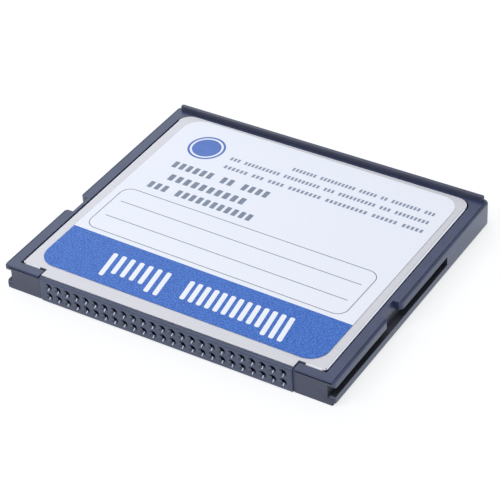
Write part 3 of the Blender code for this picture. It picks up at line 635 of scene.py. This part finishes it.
INK = 0.004 * MM
BAR_BASE = -10.95
SHORT_TOP = -14.20
TALL_TOP = -15.05
BAR_SLANT = -0.16
BAR_HALF_WIDTH = 0.31
BAR_CORNER = 0.22 * MM
RULE_WIDTH = 0.11
BOX_LEFT = -17.65
BOX_RIGHT = 16.90
BOX_FRONT = -8.25
BOX_REAR = 0.25
BOX_CORNER = 1.40 * MM
LINE_LEFT = -16.55
LINE_RIGHT = 15.90
LINE_PLACES = (-5.52, -2.47)
BLOCK_SHARE = 0.62
DARK_HEIGHT = 1.25
DARK_CORNER = 0.12 * MM
GREY_HEIGHT = 0.62
MARK_PLACE = (-13.70, 11.45)
MARK_RING_RADIUS = 2.35 * MM
MARK_RING_WIDTH = 0.28 * MM
MARK_DISC_RADIUS = 1.80 * MM
MARK_FACETS = 56


def print_point(across, along):
    """A place on the label, in metres, from its place in the print."""
    turned = Matrix.Rotation(PRINT_TURN, 2) @ Vector((across, along))
    return label_centre.x + turned.x * MM, label_centre.y + turned.y * MM, label_high.z - INK / 4


def ink_face(bm, corners):
    """Adds a flat shape to a print from its corners in the print."""
    bm.faces.new([bm.verts.new(print_point(*corner)) for corner in corners])


def ink_box(bm, left, right, front, rear):
    """Adds a rectangle to a print, square to it."""
    ink_face(bm, [(left, front), (right, front), (right, rear), (left, rear)])


def ink_piece(name, bm, material):
    """Raises a print's flat shapes by the ink's thickness and makes them one piece."""
    grow_up(bm, INK * 5 / 4)
    add_piece(name, bm, [material], "label_paper")


def ink(name, dark, light):
    """Printing ink, a little uneven in its colour."""
    return grained_material(
        name, dark, light, grain_scale=7000, cloud_scale=900, gloss=0.35, spread=0.15, relief=0.001 * MM
    )


def banner_bars():
    """Two groups of slanted bars, counted to the left, some of them tall."""
    bm = bmesh.new()
    long_group = [TALL_TOP] * 3 + [SHORT_TOP] * 10
    short_group = [TALL_TOP] * 2 + [SHORT_TOP] * 4 + [TALL_TOP]
    for first, step, tops in ((12.35, 1.08, long_group), (-3.75, 1.22, short_group)):
        for place, top in enumerate(tops):
            middle = first - step * place
            lean = BAR_SLANT * (top - BAR_BASE)
            ink_face(bm, [
                (middle - BAR_HALF_WIDTH + lean, top), (middle + BAR_HALF_WIDTH + lean, top),
                (middle + BAR_HALF_WIDTH, BAR_BASE), (middle - BAR_HALF_WIDTH, BAR_BASE),
            ])
    round_corners(bm, BAR_CORNER, segments=5)
    return bm


def keep_band(bm, width):
    """Leaves only a band along the outline of a flat bmesh."""
    middle = bm.faces[:]
    bmesh.ops.inset_region(bm, faces=middle, thickness=width, use_boundary=True, use_even_offset=True)
    bmesh.ops.delete(bm, geom=middle, context="FACES_ONLY")


def note_box():
    """The ruled box: its outline with rounded corners, and two lines across it."""
    bm = bmesh.new()
    ink_box(bm, BOX_LEFT, BOX_RIGHT, BOX_FRONT, BOX_REAR)
    round_corners(bm, BOX_CORNER, segments=10)
    bmesh.ops.recalc_face_normals(bm, faces=bm.faces)
    keep_band(bm, RULE_WIDTH * MM)
    for along in LINE_PLACES:
        ink_box(bm, LINE_LEFT, LINE_RIGHT, along - RULE_WIDTH / 2, along + RULE_WIDTH / 2)
    return bm


def block_rows(rows, height):
    """Rows of small blocks. A row is the block counts of its groups, its right end, its step and base."""
    bm = bmesh.new()
    for groups, right, step, base in rows:
        for blocks in groups:
            for _ in range(blocks):
                ink_box(bm, right - BLOCK_SHARE * step, right, base - height, base)
                right -= step
            right -= step
    return bm


def add_disc(bm, radius):
    """Adds a disc to the ring mark."""
    disc = bmesh.ops.create_circle(bm, cap_ends=True, segments=MARK_FACETS, radius=radius)
    bmesh.ops.translate(bm, verts=disc["verts"], vec=print_point(*MARK_PLACE))


def ring_mark():
    """A ring round a disc."""
    bm = bmesh.new()
    add_disc(bm, MARK_RING_RADIUS)
    keep_band(bm, MARK_RING_WIDTH)
    add_disc(bm, MARK_DISC_RADIUS)
    return bm


DARK_ROWS = (
    ((11, 3), -1.3, 0.98, 2.65),
    ((10,), -3.7, 1.1, 4.95),
    ((4, 2, 6), -2.0, 0.98, 7.40),
)
GREY_ROWS = (
    ((5, 6, 10, 8, 4, 3, 6), 17.1, 0.5625, 9.55),
    ((9, 3, 10, 3, 10, 10, 3), 16.9, 0.500, 11.30),
    ((3, 8, 2, 5, 10, 7), 16.8, 0.480, 13.00),
)
white_ink = ink("white ink", (0.90, 0.89, 0.91), (0.93, 0.92, 0.94))
rule_ink = ink("rule ink", (0.16, 0.17, 0.20), (0.22, 0.23, 0.26))
dark_ink = ink("dark ink", (0.150, 0.177, 0.240), (0.210, 0.245, 0.325))
grey_ink = ink("grey ink", (0.21, 0.235, 0.32), (0.28, 0.31, 0.40))
blue_ink = ink("blue ink", (0.045, 0.125, 0.440), (0.060, 0.160, 0.520))
dark_rows = block_rows(DARK_ROWS, DARK_HEIGHT)
round_corners(dark_rows, DARK_CORNER, segments=3)
ink_piece("banner_bars", banner_bars(), white_ink)
ink_piece("note_box_rules", note_box(), rule_ink)
ink_piece("dark_rows", dark_rows, dark_ink)
ink_piece("grey_rows", block_rows(GREY_ROWS, GREY_HEIGHT), grey_ink)
ink_piece("ring_mark", ring_mark(), blue_ink)


# The circuit board is green solder-masked laminate on the frame's ledge. The controller, a flash chip and a
# crystal in a drawn metal can are soldered on top, and a second flash chip below. The chips are moulded
# resin, and their leads and the ends of the ceramic passives are tinned.

LEAD_REACH = 0.75 * MM
PASSIVE_END_AREA = 0.30 * MM ** 2

laminate = grained_material(
    "board laminate", (0.012, 0.110, 0.040), (0.022, 0.160, 0.060), grain_scale=3000, cloud_scale=250,
    gloss=0.25, spread=0.20, relief=0.004 * MM,
)
resin = grained_material(
    "chip resin", (0.014, 0.014, 0.015), (0.024, 0.024, 0.026), grain_scale=12000, cloud_scale=500,
    gloss=0.48, spread=0.20, relief=0.005 * MM,
)
can_metal = grained_material(
    "crystal can", (0.62, 0.61, 0.60), (0.74, 0.73, 0.72), grain_scale=5000, cloud_scale=600,
    gloss=0.24, spread=0.14, relief=0.001 * MM, metallic=1.0,
)
tinned_lead = grained_material(
    "tinned lead", (0.58, 0.58, 0.58), (0.72, 0.72, 0.71), grain_scale=9000, cloud_scale=900,
    gloss=0.30, spread=0.18, relief=0.001 * MM, metallic=1.0,
)
ceramic = grained_material(
    "passive ceramic", (0.22, 0.13, 0.07), (0.30, 0.19, 0.11), grain_scale=9000, cloud_scale=900,
    gloss=0.40, spread=0.20, relief=0.002 * MM,
)


def add_chip(chip, leads_at_ends_only):
    """A chip: its resin package, and tinned leads on all four sides or only at the two ends along Y."""
    low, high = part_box(chip)
    resin_half = (high - low) / 2
    resin_half.y -= LEAD_REACH - SLIVER
    if not leads_at_ends_only:
        resin_half.x -= LEAD_REACH - SLIVER
    package = shape_of(chip)
    for face in package.faces:
        place = face.calc_center_median() - (low + high) / 2
        on_lead = abs(place.x) > resin_half.x or abs(place.y) > resin_half.y
        face.material_index = 1 if on_lead else 0
    add_piece(chip + "_package", package, [resin, tinned_lead], "chip_resin", chip)


def add_board():
    """The board, which lies between its two largest faces. The rest are passives, with small end faces."""
    board = shape_of("circuit_board")
    plates = sorted(board.faces, key=lambda face: face.calc_area())[-2:]
    bottom, top = sorted(face.calc_center_median().z for face in plates)
    for face in board.faces:
        if not bottom - SLIVER < face.calc_center_median().z < top + SLIVER:
            face.material_index = 2 if face.calc_area() < PASSIVE_END_AREA else 1
    finishes = [laminate, ceramic, tinned_lead]
    add_piece("circuit_board_and_passives", board, finishes, "board_laminate", "circuit_board")


add_chip("controller_chip", leads_at_ends_only=False)
add_chip("flash_chip_upper", leads_at_ends_only=True)
add_chip("flash_chip_lower", leads_at_ends_only=True)
add_board()
dress("crystal", can_metal)


# The card lies on a pale table in a plain studio: a white surround all round and three soft lamps, overhead,
# behind on the left and in front on the left. The table is lifted to white for the camera and in
# reflections, so that only the card's faint shadow stays on it.

TABLE_SIZE = 3.0
TABLE_DROP = 0.02 * MM
TABLE_LIFT = 0.74
SURROUND = 0.54
WHITE = (1.0, 1.0, 1.0, 1)
COOL_WHITE = (0.88, 0.93, 1.0)


def cool_unless_seen(tree, paths):
    """A node that gives cool white as light, and plain white where the camera looks."""
    tint = add_node(tree, "ShaderNodeMix", {"A": (*COOL_WHITE, 1), "B": WHITE}, data_type="RGBA")
    tree.links.new(paths.outputs["Is Camera Ray"], tint.inputs["Factor"])
    return tint


def seen_or_mirrored(tree, paths):
    """A node that gives one for what the camera or a reflection shows, and zero for light."""
    seen = add_node(tree, "ShaderNodeMath", operation="MAXIMUM")
    tree.links.new(paths.outputs["Is Camera Ray"], seen.inputs[0])
    tree.links.new(paths.outputs["Is Glossy Ray"], seen.inputs[1])
    return seen


def matt_pale_board():
    """The table's material, a little mottled."""
    material = new_material("table", 0.9)
    tree = material.node_tree
    shader = tree.nodes["Principled BSDF"]
    shader.inputs["Specular IOR Level"].default_value = 0.0
    link = tree.links.new
    paths = add_node(tree, "ShaderNodeLightPath")
    place = add_node(tree, "ShaderNodeTexCoord")
    mottle = add_node(tree, "ShaderNodeTexNoise", {"Scale": 30.0, "Detail": 2.0})
    link(place.outputs["Object"], mottle.inputs["Vector"])
    pale_shades = {"A": (0.89, 0.89, 0.89, 1), "B": (0.91, 0.91, 0.91, 1)}
    shade = add_node(tree, "ShaderNodeMix", pale_shades, data_type="RGBA")
    link(mottle.outputs["Fac"], shade.inputs["Factor"])
    seen_shade = add_node(tree, "ShaderNodeMix", {"B": (0.32, 0.32, 0.32, 1)}, data_type="RGBA")
    link(shade.outputs["Result"], seen_shade.inputs["A"])
    link(paths.outputs["Is Camera Ray"], seen_shade.inputs["Factor"])
    link(seen_shade.outputs["Result"], shader.inputs["Base Color"])
    link(cool_unless_seen(tree, paths).outputs["Result"], shader.inputs["Emission Color"])
    lift = add_node(tree, "ShaderNodeMath", {1: TABLE_LIFT}, operation="MULTIPLY")
    link(seen_or_mirrored(tree, paths).outputs[0], lift.inputs[0])
    link(lift.outputs[0], shader.inputs["Emission Strength"])
    return material


def white_surround():
    """The studio's walls. They light the card a cool soft white, and are full white where they are seen."""
    world = bpy.data.worlds.new("studio")
    world.use_nodes = True
    tree = world.node_tree
    background = tree.nodes["Background"]
    link = tree.links.new
    paths = add_node(tree, "ShaderNodeLightPath")
    clear = add_node(tree, "ShaderNodeMath", operation="MAXIMUM")
    link(seen_or_mirrored(tree, paths).outputs[0], clear.inputs[0])
    link(paths.outputs["Is Transmission Ray"], clear.inputs[1])
    level = add_node(tree, "ShaderNodeMapRange", {"To Min": SURROUND, "To Max": 1.0})
    link(clear.outputs[0], level.inputs["Value"])
    link(level.outputs["Result"], background.inputs["Strength"])
    link(cool_unless_seen(tree, paths).outputs["Result"], background.inputs["Color"])
    return world


def soft_box(name, aim, distance, width, depth, power):
    """A studio lamp behind a white cloth, aimed at the card from a direction."""
    aim = Vector(aim).normalized()
    lamp_data = bpy.data.lights.new(name, "AREA")
    lamp_data.shape = "RECTANGLE"
    lamp_data.size = width
    lamp_data.size_y = depth
    lamp_data.energy = power
    lamp_data.color = COOL_WHITE
    lamp = bpy.data.objects.new(name, lamp_data)
    lamp.location = aim * distance
    lamp.rotation_euler = aim.to_track_quat("Z", "Y").to_euler()
    bpy.context.scene.collection.objects.link(lamp)


top = bmesh.new()
bmesh.ops.create_grid(top, x_segments=1, y_segments=1, size=TABLE_SIZE / 2)
bmesh.ops.translate(top, verts=top.verts, vec=(0, 0, -TABLE_DROP))
table = plain_object("table", top, matt_pale_board())
bpy.context.scene.world = white_surround()
soft_box("overhead lamp", (-0.05, -0.20, 0.97), distance=0.50, width=0.30, depth=0.13, power=0.62)
soft_box("back left lamp", (-0.66, 0.56, 0.50), distance=0.50, width=0.34, depth=0.34, power=0.48)
soft_box("front left lamp", (-0.44, -0.57, 0.69), distance=0.50, width=0.25, depth=0.10, power=0.56)


# The camera stands where the photograph was taken from: off the front right corner, looking down on the card
# through a long lens and leaning a little.

AZIMUTH = math.radians(33.723)
ELEVATION = math.radians(37.412)
LEAN = math.radians(-3.495)
VIEW_DISTANCE = 227.354 * MM
VIEW_SHIFT = Vector((0.0234, -0.7381)) * MM
LENS_MM = 142.96
SENSOR_MM = 36.0

camera_data = bpy.data.cameras.new("camera")
camera_data.lens = LENS_MM
camera_data.sensor_width = SENSOR_MM
camera = bpy.data.objects.new("camera", camera_data)
turned = (
    Matrix.Rotation(AZIMUTH, 4, "Z")
    @ Matrix.Rotation(math.pi / 2 - ELEVATION, 4, "X")
    @ Matrix.Rotation(LEAN, 4, "Z")
)
card_middle = Vector((0, 0, (cad_box[0][2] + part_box("top_cover")[1].z) / 2))
stepped_back = Matrix.Translation((*VIEW_SHIFT, VIEW_DISTANCE))
camera.matrix_world = Matrix.Translation(card_middle) @ turned @ stepped_back
bpy.context.scene.collection.objects.link(camera)
bpy.context.scene.camera = camera
bpy.context.scene.view_settings.view_transform = "Standard"
